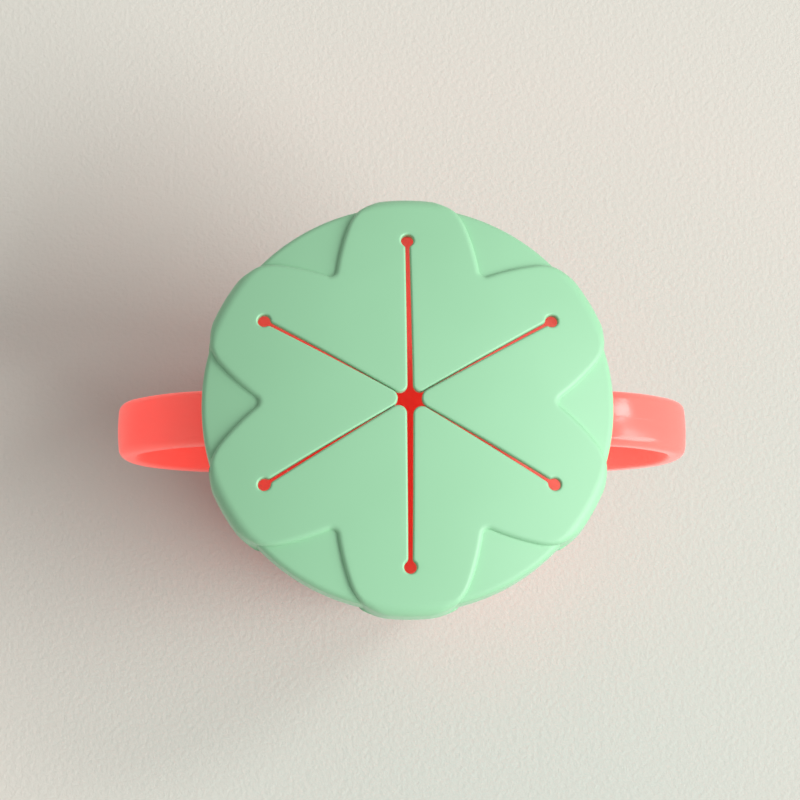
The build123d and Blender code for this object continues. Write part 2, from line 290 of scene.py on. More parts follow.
def slit_frame(side, slit):
    """Start, direction and inward normal of a flap's edge on one side (+1 or -1)."""
    at_star, at_hole, drift = slit
    along = polar(1, side * HALF_PITCH)
    inward = polar(1, side * (HALF_PITCH - pi / 2))
    start = inward * (at_star - side * drift)
    far = along * HOLE_CIRCLE + inward * at_hole
    direction = (far - start) / np.linalg.norm(far - start)
    normal = np.array([direction[1], -direction[0]]) * side
    return start, direction, normal


def flap_line(inset, left, right, tip_radius):
    """Line at this distance inside a flap's free edge, from the right end of the seam
    round the tip to the left end of the seam."""
    sides = {1: slit_frame(1, left), -1: slit_frame(-1, right)}
    (a, da, na), (b, db, nb) = sides[1], sides[-1]
    shift = np.linalg.solve(np.array([na, nb]), [na @ a + tip_radius, nb @ b + tip_radius])
    runs = {}
    for side, (start, direction, normal) in sides.items():
        hole = polar(HOLE_CIRCLE, side * HALF_PITCH)
        radius = HOLE_RADIUS + inset
        # rounding of the neck: its middle lies NECK inside the slit's edge
        off = (hole - start) @ normal - NECK
        back = sqrt((HOLE_RADIUS + NECK) ** 2 - off**2)
        neck = hole - normal * off - direction * back
        small = NECK - inset
        from_line = angle_of(-normal)
        to_hole = angle_of(hole - neck)
        turn = (to_hole - from_line + pi) % (2 * pi) - pi
        neck_arc = arc(neck, small, from_line, from_line + turn, 0.15)
        end = -side * acos((SEAM - hole[0]) / radius)
        begin = angle_of(neck - hole)
        turn = (end - begin + pi) % (2 * pi) - pi
        hole_arc = arc(hole, radius, begin, begin + turn, 0.22)
        tangent = shift - normal * (tip_radius - inset)
        runs[side] = joined(line(tangent, neck_arc[0], 0.8), neck_arc, hole_arc)
    start, end = angle_of(-nb), angle_of(-na)
    sweep = (end - start) % (-2 * pi)
    tip = arc(shift, tip_radius - inset, start, start + sweep, 0.22)
    return joined(list(reversed(runs[-1])), tip, runs[1])


def hole_line(inset):
    """Line at this distance round the outer half of the left hole, from the seam to the
    line through the middle of the petal."""
    hole = polar(HOLE_CIRCLE, HALF_PITCH)
    start = -acos((SEAM - hole[0]) / (HOLE_RADIUS + inset))
    return arc(hole, HOLE_RADIUS + inset, start, HALF_PITCH, 0.22)


def seam_heights():
    """Distances from the middle of the seam at which both its sides have a vertex."""
    edges = [flap_line(d, EVEN_SLIT, EVEN_SLIT, 2.4)[-1][1] for d in EDGE_ROWS]
    count = ceil(edges[-1] / 0.7)
    return [edges[-1] * i / count for i in range(count)] + edges[::-1]


# ------------------------------------------------------------------ filling a plan
def inside(points, loop):
    """Which points lie inside a closed loop."""
    result = np.zeros(len(points), bool)
    for a, b in zip(loop, np.roll(loop, -1, axis=0)):
        crosses = (a[1] > points[:, 1]) != (b[1] > points[:, 1])
        if a[1] != b[1]:
            x = a[0] + (points[:, 1] - a[1]) * (b[0] - a[0]) / (b[1] - a[1])
            result ^= crosses & (points[:, 0] < x)
    return result


def clearance(points, lines):
    """Distance from each point to the nearest of several lines."""
    best = np.full(len(points), 1e9)
    for run in lines:
        run = np.asarray(run)
        for a, b in zip(run[:-1], run[1:]):
            ab = b - a
            t = np.clip((points - a) @ ab / max(ab @ ab, 1e-12), 0, 1)
            best = np.minimum(best, np.linalg.norm(points - a - t[:, None] * ab, axis=1))
    return best


def fill(loop, lines, spacing, extra=()):
    """Triangles that fill a closed loop and keep to the given lines inside it."""
    loop = np.asarray(loop)
    low, high = loop.min(0), loop.max(0)
    rows = np.arange(low[1], high[1], spacing * sqrt(3) / 2)
    grid = [
        (x + (i % 2) * spacing / 2, y)
        for i, y in enumerate(rows)
        for x in np.arange(low[0], high[0], spacing)
    ]
    grid = np.array(list(grid))
    closed = np.vstack([loop, loop[:1]])
    grid = grid[inside(grid, loop)]
    grid = grid[clearance(grid, [closed, *lines]) > 0.55 * spacing]
    if len(extra):
        extra = np.array(extra)
        extra = extra[inside(extra, loop)]
        extra = extra[clearance(extra, [closed, *lines]) > 0.2]
        near = np.array([np.min(np.hypot(*(extra - g).T)) for g in grid])
        grid = np.vstack([grid[near > 0.55 * spacing], extra])
    points = [Vector(p) for p in loop]
    edges = [(i, (i + 1) % len(loop)) for i in range(len(loop))]
    for run in lines:
        first = len(points)
        points += [Vector(p) for p in run]
        edges += [(first + i, first + i + 1) for i in range(len(run) - 1)]
    points += [Vector(p) for p in grid]
    verts, _, faces, sources, _, _ = delaunay_2d_cdt(points, edges, [], 1, 1e-5)
    exact = list(loop) + [p for run in lines for p in run] + list(grid)
    plan = [exact[s[0]] if s else tuple(v) for v, s in zip(verts, sources)]
    return np.array([tuple(p) for p in plan]), faces


# ------------------------------------------------------------------ building a mesh
class Moulding:
    """Vertices in millimetres, how far a petal lifts each one, and faces."""

    def __init__(self):
        self.places = []
        self.lifts = []
        self.faces = []
        self.known = {}

    def vertex(self, place, lift):
        key = tuple(round(float(c), 4) for c in place)
        if key not in self.known:
            self.known[key] = len(self.places)
            self.places.append([float(c) for c in place])
            self.lifts.append([float(c) for c in lift])
        return self.known[key]

    def face(self, corners):
        corners = [c for i, c in enumerate(corners) if c != corners[i - 1]]
        if len(set(corners)) >= 3:
            self.faces.append(corners)

    def sheet(self, plan, faces, shape, up):
        """Lays triangles of a flat plan on a surface; up is False for an underside."""
        index = [self.vertex(*shape(p)) for p in plan]
        for f in faces:
            corners = [index[i] for i in f]
            self.face(corners if up else corners[::-1])

    def strips(self, columns):
        """Joins neighbouring columns of vertices with four-sided faces."""
        for left, right in zip(columns[:-1], columns[1:]):
            for i in range(len(left) - 1):
                self.face([left[i], left[i + 1], right[i + 1], right[i]])

    def mesh(self, name):
        data = bpy.data.meshes.new(name)
        data.from_pydata([[c * MM for c in p] for p in self.places], [], self.faces)
        lift = data.attributes.new("petal_lift", "FLOAT_VECTOR", "POINT")
        lift.data.foreach_set("vector", (np.array(self.lifts) * MM).ravel())
        sharp = data.attributes.new("sharp_edge", "BOOLEAN", "EDGE")
        on_seam = [abs(v.co.x - SEAM * MM) < 1e-7 for v in data.vertices]
        sharp.data.foreach_set("value", [on_seam[a] and on_seam[b] for a, b in data.edge_keys])
        data.shade_smooth()
        return data


def skin_vertex(p, distance):
    """Place and petal lift of a point of the outer skin, near a rounded free edge."""
    radius, height, out, up = skin(hypot(*p))
    unit = polar(1, angle_of(p))
    return (*(unit * radius), height - rounding(distance, EDGE_ROUND)), (*(unit * out), up)


def under_vertex(p, distance):
    """Place of a point of the lid's underside. No petal shows there."""
    height = dome(CROWN - SHEET, hypot(*p)) + rounding(distance, UNDER_ROUND)
    return (*p, height), (0, 0, 0)


def rounded(corners, radius):
    """A line through corners (radius, height), each inner corner rounded."""
    out = [np.array(corners[0], float)]
    for before, here, after in zip(corners[:-2], corners[1:-1], corners[2:]):
        before, here, after = (np.array(p, float) for p in (before, here, after))
        a = (before - here) / np.linalg.norm(before - here)
        b = (after - here) / np.linalg.norm(after - here)
        half = acos(np.clip(a @ b, -1, 1)) / 2
        run = min(radius / np.tan(half), np.linalg.norm(before - here) * 0.45,
                  np.linalg.norm(after - here) * 0.45)
        out.append(here + a * min(run * 1.3, np.linalg.norm(before - here) * 0.48))
        for t in (0, 0.25, 0.5, 0.75, 1):
            out.append((1 - t) ** 2 * (here + a * run) + 2 * t * (1 - t) * here
                       + t**2 * (here + b * run))
        out.append(here + b * min(run * 1.3, np.linalg.norm(after - here) * 0.48))
    out.append(np.array(corners[-1], float))
    return out


def rim_sixth():
    """One sixth of the lid's rim, between the middles of two petals."""
    mould = Moulding()
    heights = seam_heights()
    seam = [np.array([SEAM, y]) for y in [-h for h in heights[:0:-1]] + heights]
    left_hole = hole_line(0)
    hole_out = np.linalg.norm(left_hole[-1])
    rows = [hole_out + d for d in EDGE_ROWS]

    petal_lines, ends = [], []
    for inset in (-0.07, 0.0, 0.05, 0.14, 0.3, 0.55, 0.9, 1.3):
        run, last = petal_line(inset)
        cut = [p for p in run]
        if min(p[0] for p in run) < SEAM + 0.2:
            middle = len(run) // 2
            first = next(i for i in range(middle, len(run)) if run[i][0] > SEAM + 0.25)
            petal_lines += [run[first:], mirrored(run[first:])]
        else:
            petal_lines.append(cut)
        ends.append(last)
    even = np.linspace(0, HALF_PITCH, 34)
    angles = [a for a in even if min(abs(a - e) for e in ends) > 0.006] + ends
    angles = sorted(set(round(a, 7) for a in angles) | {0.0, round(HALF_PITCH, 7)})
    angles = [-a for a in angles[:0:-1]] + angles

    def side_reaches(end):
        """Reaches along the line through a petal's middle, out to this one."""
        even = np.arange(rows[-1] + 0.45, end - 0.2, 0.55)
        return rows + list(even) + [end]

    def outline(end):
        ray = [polar(r, HALF_PITCH) for r in side_reaches(end)]
        rim = [polar(end, a) for a in reversed(angles)]
        left = joined(seam, left_hole, ray, rim[:len(rim) // 2 + 1])
        right = joined(rim[len(rim) // 2:], mirrored(ray), mirrored(left_hole))
        return joined(left, right)[:-1]

    hole_rows = [hole_line(d) for d in EDGE_ROWS[1:]]
    free = [left_hole, mirrored(left_hole)]
    near_holes = hole_rows + [mirrored(r) for r in hole_rows]

    # outer skin, with extra rings round the shoulder
    loop = outline(SIDE_END)
    rings = [polar(r, a) for r in np.arange(TURN - 0.6, SHOULDER_END + 0.6, 0.42)
             for a in np.linspace(-HALF_PITCH, HALF_PITCH, 68)]
    plan, faces = fill(loop, petal_lines + near_holes, 0.85, rings)
    distance = clearance(plan, free)
    index = [mould.vertex(*skin_vertex(p, d)) for p, d in zip(plan, distance)]
    for f in faces:
        mould.face([index[i] for i in f])

    # underside, inside the sealing ring
    loop = outline(UNDERSIDE_REACH)
    plan, faces = fill(loop, near_holes, 1.3)
    distance = clearance(plan, free)
    index = [mould.vertex(*under_vertex(p, d)) for p, d in zip(plan, distance)]
    for f in faces:
        mould.face([index[i] for i in f][::-1])

    # walls of the holes, and the closed end at the seam
    for run in (left_hole, mirrored(left_hole)):
        mould.strips([wall_column(mould, p, 0.0) for p in run])
    columns = []
    for p in seam:
        columns.append(wall_column(mould, p, clearance(np.array([p]), free)[0]))
    mould.strips(columns)

    # skirt, channel for the cup's rim, and sealing ring
    edge = [(LID_RADIUS - SKIRT_EDGE * (1 - cos(a)), SKIRT_BOTTOM + SKIRT_EDGE * (1 - sin(a)))
            for a in np.radians([0, 18, 36, 54, 72, 90])]
    hidden = rounded(
        [edge[-1], (SKIRT_INNER, SKIRT_BOTTOM), (SKIRT_INNER, RIM_TOP), (PLUG_OUTER, RIM_TOP),
         (PLUG_OUTER, PLUG_BOTTOM), (PLUG_INNER, PLUG_BOTTOM),
         (PLUG_INNER, dome(CROWN - SHEET, PLUG_INNER)),
         (UNDERSIDE_REACH, dome(CROWN - SHEET, UNDERSIDE_REACH))], INNER_CORNER)
    profile = [(r, z, 1.0) for r, z in edge] + [
        (r, z, max(0.0, (r - SKIRT_INNER) / (edge[-1][0] - SKIRT_INNER)) if i < 8 else 0.0)
        for i, (r, z) in enumerate(hidden) if i
    ]
    columns = []
    for a in angles:
        unit = polar(1, a)
        column = []
        for r, z, share in profile:
            lift = unit * PETAL_SIDE_RELIEF * share
            column.append(mould.vertex((*(unit * r), z), (*lift, 0)))
        columns.append(column)
    mould.strips(columns[::-1])
    return mould


def wall_column(mould, p, distance):
    """Vertices of a wall from the outer skin down to the underside."""
    top, lift = skin_vertex(p, distance)
    bottom, _ = under_vertex(p, distance)
    column = []
    for share in (0, 0.3, 0.7, 1):
        place = [a + (b - a) * share for a, b in zip(top, bottom)]
        column.append(mould.vertex(place, [c * (1 - share) for c in lift]))
    return column


def flap_shape(left, right, tip_radius, sag, curl):
    """One flap of the lid about +X, closed at the seam. It sags towards its tip, and
    curl lowers its left side (or its right side, if negative) near the tip."""
    mould = Moulding()
    free = flap_line(0, left, right, tip_radius)
    heights = seam_heights()
    seam = [np.array([SEAM, y]) for y in heights[::-1] + [-h for h in heights[1:]]]
    loop = joined(free, seam)[:-1]
    lines = [flap_line(d, left, right, tip_radius) for d in EDGE_ROWS[1:]]
    bend = [np.array([x, y]) for x in np.arange(BEND_END - 0.8, SEAM, 0.4)
            for y in np.arange(-19, 19.01, 0.8)]
    plan, faces = fill(loop, lines, 1.0, bend)
    distance = clearance(plan, [free])

    def lowered(vertex, p):
        (x, y, z), lift = vertex
        share = min(max((BEND_END - p[0]) / BEND_END, 0.0), 1.0)
        z -= sag * share**1.2 + curl * share**1.5 * y / 6
        return (x, y, z), lift

    top = [mould.vertex(*lowered(skin_vertex(p, d), p)) for p, d in zip(plan, distance)]
    under = [mould.vertex(*lowered(under_vertex(p, d), p)) for p, d in zip(plan, distance)]
    for f in faces:
        mould.face([top[i] for i in f])
        mould.face([under[i] for i in f][::-1])
    near = {tuple(np.round(p, 4)): i for i, p in enumerate(plan)}
    for run in (free, seam):
        columns = []
        for p in run:
            i = near[tuple(np.round(p, 4))]
            a, b = np.array(mould.places[top[i]]), np.array(mould.places[under[i]])
            lift = np.array(mould.lifts[top[i]])
            middle = [mould.vertex(a + (b - a) * s, lift * (1 - s)) for s in (0.3, 0.7)]
            columns.append([top[i], *middle, under[i]])
        mould.strips(columns)
    return mould


# ------------------------------------------------------------------ cup and handles
def sag_arc(start, end, sag, count):
    """Points along an arc whose middle stands out to the right of start-end by sag."""
    start, end = np.array(start, float), np.array(end, float)
    chord = end - start
    half = np.linalg.norm(chord) / 2
    radius = (half**2 + sag**2) / (2 * sag)
    unit = chord / (2 * half)
    out = np.array([unit[1], -unit[0]])
    middle = (start + end) / 2 - out * (radius - sag)
    spread = asin(half / radius)
    return [middle + radius * (out * cos(a) + unit * sin(a))
            for a in np.linspace(-spread, spread, count)]


def soft_corner(run, index, radius):
    """The run with the corner at this index rounded by a true arc."""
    corner = run[index]
    lengths = []
    for step in (-1, 1):
        k = index + step
        while np.linalg.norm(run[k] - corner) < radius * 1.05 and 0 < k < len(run) - 1:
            k += step
        lengths.append(k)
    before, after = run[lengths[0]], run[lengths[1]]
    a = (before - corner) / np.linalg.norm(before - corner)
    b = (after - corner) / np.linalg.norm(after - corner)
    half = acos(np.clip(a @ b, -1, 1)) / 2
    reach = radius / np.tan(half)
    middle = corner + (a + b) / np.linalg.norm(a + b) * radius / sin(half)
    start, end = angle_of(corner + a * reach - middle), angle_of(corner + b * reach - middle)
    turn = (end - start + pi) % (2 * pi) - pi
    count = max(5, ceil(abs(turn) * radius / 0.5))
    arc_points = [middle + polar(radius, start + turn * t)
                  for t in np.linspace(0, 1, count + 1)]
    ends = []
    for step, last in ((-1, 0), (1, len(run) - 1)):
        k = index + step
        while k != last and np.linalg.norm(run[k] - corner) <= reach * 1.02:
            k += step
        ends.append(k)
    return run[:ends[0] + 1] + arc_points + run[ends[1]:]


def corner_at(run, radius, height):
    return min(range(len(run)), key=lambda i: hypot(run[i][0] - radius, run[i][1] - height))


def cup_profile():
    """Closed half-section of the cup, from the middle of its underside out and up over
    the rim and down its inside to the middle of its floor."""
    outside = sag_arc((BASE_RADIUS, 0), (WALL_TOP_RADIUS, WALL_TOP), BELLY, 28)
    inside = sag_arc((BASE_INNER, FLOOR_TOP), (WALL_TOP_INNER, WALL_TOP), BELLY, 28)[::-1]
    points = [(0, BASE_RECESS), (FOOT_INNER, BASE_RECESS), (FOOT_INNER, 0)]
    points += list(outside) + [(RIM_OUTER, RIM_BOTTOM), (RIM_OUTER, RIM_TOP),
                               (RIM_INNER, RIM_TOP), (RIM_INNER, SEAT),
                               (WALL_TOP_INNER, SEAT)]
    points += list(inside) + [(0, FLOOR_TOP)]
    run = [np.array(p, float) for p in points]
    corners = [(BASE_RADIUS, 0, BASE_CORNER), (BASE_INNER, FLOOR_TOP, FLOOR_CORNER),
               (RIM_OUTER, RIM_TOP, RIM_EDGE), (FOOT_INNER, 0, 0.4),
               (FOOT_INNER, BASE_RECESS, 0.4), (RIM_OUTER, RIM_BOTTOM, 0.4),
               (WALL_TOP_RADIUS, WALL_TOP, 1.0), (RIM_INNER, RIM_TOP, 0.3),
               (RIM_INNER, SEAT, 0.3), (WALL_TOP_INNER, SEAT, 0.3)]
    for radius, height, rounding_radius in corners:
        run = soft_corner(run, corner_at(run, radius, height), rounding_radius)
    return run


def cup_body(turns=192):
    """The cup without its handles, turned about the axis."""
    run = cup_profile()
    verts = [(0, 0, run[0][1])]
    for i in range(turns):
        unit = polar(1, 2 * pi * i / turns)
        verts += [(*(unit * r), z) for r, z in run[1:-1]]
    verts.append((0, 0, run[-1][1]))
    last, count = len(verts) - 1, len(run) - 2
    faces = []
    for i in range(turns):
        a, b = 1 + i * count, 1 + (i + 1) % turns * count
        faces.append((0, b, a))
        faces.append((last, a + count - 1, b + count - 1))
        faces += [(a + k, b + k, b + k + 1, a + k + 1) for k in range(count - 1)]
    return verts, faces


def loop_line(arcs, side, root):
    """Points and outward normals along the outside of one arm, widest point first."""
    (corner, corner_turn), (sweep, sweep_turn) = arcs
    middle = np.array([HANDLE_REACH - corner, HANDLE_MIDDLE])
    turn = radians(side * corner_turn)
    out = []
    for i in range(17):
        a = turn * i / 16
        out.append((middle + polar(corner, a), polar(1, a)))
    middle = middle + polar(corner - sweep, turn)
    for i in range(1, 33):
        a = turn + radians(side * sweep_turn) * i / 32
        out.append((middle + polar(sweep, a), polar(1, a)))
    place, normal = out[-1]
    if place[0] > root:
        for i in range(1, 5):
            out.append((place + (np.array([root, place[1]]) - place) * i / 4, normal))
    return [(p, n) for p, n in out if p[0] > root - 0.01]


def handle_section():
    """Points round a handle's section: across, and down from its outside."""
    half, deep = HANDLE_WIDTH / 2, HANDLE_THICKNESS
    points = []
    for sign, across, down, radius in ((1, half, 0, HANDLE_OUTER_EDGE),
                                       (1, half, deep, HANDLE_INNER_EDGE),
                                       (-1, half, deep, HANDLE_INNER_EDGE),
                                       (-1, half, 0, HANDLE_OUTER_EDGE)):
        inward = 1 if down == 0 else -1
        turned = [(half - radius + radius * sin(radians(a)),
                   down + inward * (radius - radius * cos(radians(a))))
                  for a in np.linspace(0, 90, 9)]
        if (sign > 0) != (down == 0):
            turned.reverse()
        points += [(sign * y, d) for y, d in turned]
    flat = half - HANDLE_OUTER_EDGE
    top = [(-flat + 2 * flat * i / 12, 0.0) for i in range(1, 12)]
    bottom = [(p[0], deep) for p in reversed(top)]
    middle = len(points) // 2
    points = points[:middle] + bottom + points[middle:] + top
    crowned = []
    for y, d in points:
        share = 1 - d / deep
        crowned.append((y, d + HANDLE_CROWN * share * min(1.0, (y / flat) ** 2)))
    return crowned


def wall_radius(height):
    """Radius of the cup's outside at this height."""
    share = height / WALL_TOP
    straight = BASE_RADIUS + (WALL_TOP_RADIUS - BASE_RADIUS) * share
    return straight + 4 * BELLY * share * (1 - share)


def handle_mesh(side):
    """One handle on +X (side 1) or -X (side -1), swept along its loop."""
    upper = loop_line(UPPER_ARCS, 1, UPPER_ROOT)
    lower = loop_line(LOWER_ARCS, -1, LOWER_ROOT)
    path = upper[:0:-1] + lower
    section = handle_section()
    centre = np.mean(section, axis=0)
    verts = []
    for place, normal in path:
        for y, down in section:
            x, z = place - normal * down
            away = np.array([y - centre[0], centre[1] - down])
            away = away / np.linalg.norm(away)
            gap = hypot(x, y) - wall_radius(z)
            near = min(max(ROOT_FILLET - gap, 0.0), ROOT_FILLET)
            grow = ROOT_FILLET - sqrt(ROOT_FILLET**2 - near**2) if gap > 0 else 0.0
            grow = min(grow, 0.9)
            y += away[0] * grow
            x, z = np.array([x, z]) + normal * away[1] * grow
            verts.append((x * side, y, z))
    count = len(section)
    faces = []
    for i in range(len(path) - 1):
        for k in range(count):
            j = (k + 1) % count
            faces.append((i * count + k, i * count + j, (i + 1) * count + j,
                          (i + 1) * count + k))
    faces.append(tuple(range(count)))
    faces.append(tuple(range((len(path) - 1) * count, len(path) * count)))
    return verts, faces


def plain_mesh(name, verts, faces):
    data = bpy.data.meshes.new(name)
    shape = bmesh.new()
    made = [shape.verts.new([c * MM for c in v]) for v in verts]
    for f in faces:
        shape.faces.new([made[i] for i in f])
    bmesh.ops.recalc_face_normals(shape, faces=shape.faces)
    shape.to_mesh(data)
    shape.free()
    data.shade_smooth()
    thing = bpy.data.objects.new(name, data)
    bpy.context.scene.collection.objects.link(thing)
    return thing


# ------------------------------------------------------------------ geometry nodes
class Tree:
    """A node tree, with short ways to add the nodes used here."""

    def __init__(self, name, kind):
        self.tree = bpy.data.node_groups.new(name, kind)
        self.nodes = self.tree.nodes

    def socket(self, name, kind, direction="INPUT"):
        return self.tree.interface.new_socket(name, in_out=direction, socket_type=kind)

    def node(self, kind, inputs=(), **settings):
        made = self.nodes.new(kind)
        for key, value in settings.items():
            setattr(made, key, value)
        for place, value in dict(inputs).items():
            self.feed(made.inputs[place], value)
        return made

    def feed(self, socket, value):
        if isinstance(value, bpy.types.NodeSocket):
            self.tree.links.new(value, socket)
        else:
            socket.default_value = value

    def math(self, operation, *values, clamp=False):
        return self.node("ShaderNodeMath", enumerate(values), operation=operation,
                         use_clamp=clamp).outputs[0]

    def vector(self, operation, *values):
        made = self.node("ShaderNodeVectorMath", enumerate(values), operation=operation)
        return made.outputs["Value" if operation in ("DISTANCE", "DOT_PRODUCT") else "Vector"]

    def choose(self, test, no, yes):
        """yes where test is 1, and no where it is 0."""
        return self.math("ADD", no, self.math("MULTIPLY", test, self.math("SUBTRACT", yes, no)))


PETAL_SIZES = {
    "Side arc": SIDE_ARC,
    "Side arc X": SIDE_CENTRE[0],
    "Side arc Y": SIDE_CENTRE[1],
    "Corner arc": CORNER_ARC,
    "Corner arc X": CORNER_CENTRE[0],
    "Corner arc Y": CORNER_CENTRE[1],
    "Valley arc": VALLEY_FILLET,
    "Valley arc X": VALLEY_CENTRE[0],
    "Valley arc Y": VALLEY_CENTRE[1],
    "Petal reach": PETAL_SIDE,
    "Relief width": RELIEF_WIDTH,
    "Side reach": LID_RADIUS,
    "Side relief": PETAL_SIDE_RELIEF,
}


def petal_tree():
    """Raises the petals out of a sheet and repeats it round the axis.

    A point's distance inside the flower outline comes from the circles that the outline
    is made of. The petal's edge is rounded over the relief width on top, and on the
    upright side the petal's surface is the outline itself.
    """
    t = Tree("raised_petals", "GeometryNodeTree")
    t.socket("Geometry", "NodeSocketGeometry")
    for name in PETAL_SIZES:
        t.socket(name, "NodeSocketFloat")
    t.socket("Petals", "NodeSocketInt")
    t.socket("Repeats", "NodeSocketInt")
    t.socket("Turn", "NodeSocketFloat")
    t.socket("Material", "NodeSocketMaterial")
    t.socket("Geometry", "NodeSocketGeometry", "OUTPUT")
    given = t.node("NodeGroupInput").outputs
    given = {socket.name: socket for socket in given}

    place = t.node("GeometryNodeInputPosition").outputs[0]
    split = t.node("ShaderNodeSeparateXYZ", {0: place}).outputs
    radius = t.math("SQRT", t.math("ADD", t.math("POWER", split[0], 2.0),
                                   t.math("POWER", split[1], 2.0)))
    around = t.math("ARCTAN2", split[1], split[0])
    pitch = t.math("DIVIDE", 2 * pi, given["Petals"])
    half = t.math("DIVIDE", pitch, 2.0)
    # angle from the nearest petal's middle line, 0 to half a pitch
    from_valley = t.math("PINGPONG", around, half)
    from_petal = t.math("SUBTRACT", half, from_valley)
    x = t.math("MULTIPLY", radius, t.math("COSINE", from_petal))
    y = t.math("MULTIPLY", radius, t.math("SINE", from_petal))
    folded = t.node("ShaderNodeCombineXYZ", {0: x, 1: y}).outputs[0]

    def centre(name):
        return t.node("ShaderNodeCombineXYZ", {0: given[name + " X"],
                                               1: given[name + " Y"]}).outputs[0]

    side, corner, valley = centre("Side arc"), centre("Corner arc"), centre("Valley arc")
    from_side = t.math("SUBTRACT", given["Side arc"], t.vector("DISTANCE", folded, side))
    from_end = t.math("SUBTRACT", given["Petal reach"], radius)
    inside = t.math("MINIMUM", from_side, from_end)

    def left_of(start, end):
        """1 where the folded point lies left of the line from start through end."""
        along = t.vector("SUBTRACT", end, start)
        to_point = t.vector("SUBTRACT", folded, start)
        turned = t.vector("CROSS_PRODUCT", along, to_point)
        height = t.node("ShaderNodeSeparateXYZ", {0: turned}).outputs[2]
        return t.math("GREATER_THAN", height, 0.0)

    nothing = t.node("ShaderNodeCombineXYZ").outputs[0]
    past_end = left_of(nothing, corner)
    before_side = t.math("SUBTRACT", 1.0, left_of(side, corner))
    at_corner = t.math("MULTIPLY", past_end, before_side)
    from_corner = t.math("SUBTRACT", given["Corner arc"], t.vector("DISTANCE", folded, corner))
    inside = t.choose(at_corner, inside, from_corner)
    at_valley = left_of(side, valley)
    from_fillet = t.math("SUBTRACT", t.vector("DISTANCE", folded, valley), given["Valley arc"])
    inside = t.choose(at_valley, inside, from_fillet)

    share = t.math("DIVIDE", inside, given["Relief width"], clamp=True)
    rest = t.math("SUBTRACT", 1.0, share)
    soft = t.math("SQRT", t.math("SUBTRACT", 1.0, t.math("POWER", rest, 2.2)))
    straight = t.math("DIVIDE", inside, given["Side relief"], clamp=True)
    start = t.math("SUBTRACT", given["Side reach"], given["Side relief"])
    upright = t.math("DIVIDE", t.math("SUBTRACT", radius, start), given["Side relief"],
                     clamp=True)
    upright = t.math("POWER", upright, 2.0)
    raised = t.choose(upright, soft, straight)

    lift = t.node("GeometryNodeInputNamedAttribute", {"Name": "petal_lift"},
                  data_type="FLOAT_VECTOR").outputs["Attribute"]
    scaled = t.node("ShaderNodeVectorMath", {0: lift, "Scale": raised}, operation="SCALE")
    moved = t.node("GeometryNodeSetPosition", {"Geometry": given["Geometry"],
                                               "Offset": scaled.outputs[0]}).outputs[0]

    points = t.node("GeometryNodeMeshLine", {"Count": given["Repeats"],
                                             "Offset": (0, 0, 0)}).outputs[0]
    number = t.node("GeometryNodeInputIndex").outputs[0]
    turn = t.math("ADD", given["Turn"], t.math("MULTIPLY", number, pitch))
    angles = t.node("ShaderNodeCombineXYZ", {2: turn}).outputs[0]
    copies = t.node("GeometryNodeInstanceOnPoints", {"Points": points, "Instance": moved,
                                                     "Rotation": angles}).outputs[0]
    real = t.node("GeometryNodeRealizeInstances", {"Geometry": copies}).outputs[0]
    welded = t.node("GeometryNodeMergeByDistance", {"Geometry": real,
                                                    "Distance": 2e-6}).outputs[0]
    coloured = t.node("GeometryNodeSetMaterial", {"Geometry": welded,
                                                  "Material": given["Material"]}).outputs[0]
    t.node("NodeGroupOutput", {0: coloured})
    return t.tree


def through_tree(name, data, tree, values):
    """A plain mesh object: data as the node tree changes it."""
    carrier = bpy.data.objects.new(name + "_pattern", data)
    bpy.context.scene.collection.objects.link(carrier)
    modifier = carrier.modifiers.new("nodes", "NODES")
    modifier.node_group = tree
    sockets = {s.name: s.identifier for s in tree.interface.items_tree
               if s.item_type == "SOCKET" and s.in_out == "INPUT"}
    for key, value in values.items():
        modifier[sockets[key]] = value
    bpy.context.view_layer.update()
    graph = bpy.context.evaluated_depsgraph_get()
    result = bpy.data.meshes.new_from_object(carrier.evaluated_get(graph))
    result.name = name
    turned = bmesh.new()
    turned.from_mesh(result)
    bmesh.ops.recalc_face_normals(turned, faces=turned.faces)
    turned.to_mesh(result)
    turned.free()
    if "petal_lift" in result.attributes:
        result.attributes.remove(result.attributes["petal_lift"])
    bpy.data.objects.remove(carrier)
    made = bpy.data.objects.new(name, result)
    bpy.context.scene.collection.objects.link(made)
    return made


# ------------------------------------------------------------------ materials
def material(name):
    made = bpy.data.materials.new(name)
    made.use_nodes = True
    return made, made.node_tree.nodes["Principled BSDF"]


def add(tree, kind, inputs=(), **settings):
    made = tree.nodes.new(kind)
    for key, value in settings.items():
        setattr(made, key, value)
    for place, value in dict(inputs).items():
        if isinstance(value, bpy.types.NodeSocket):
            tree.links.new(value, made.inputs[place])
        else:
            made.inputs[place].default_value = value
    return made


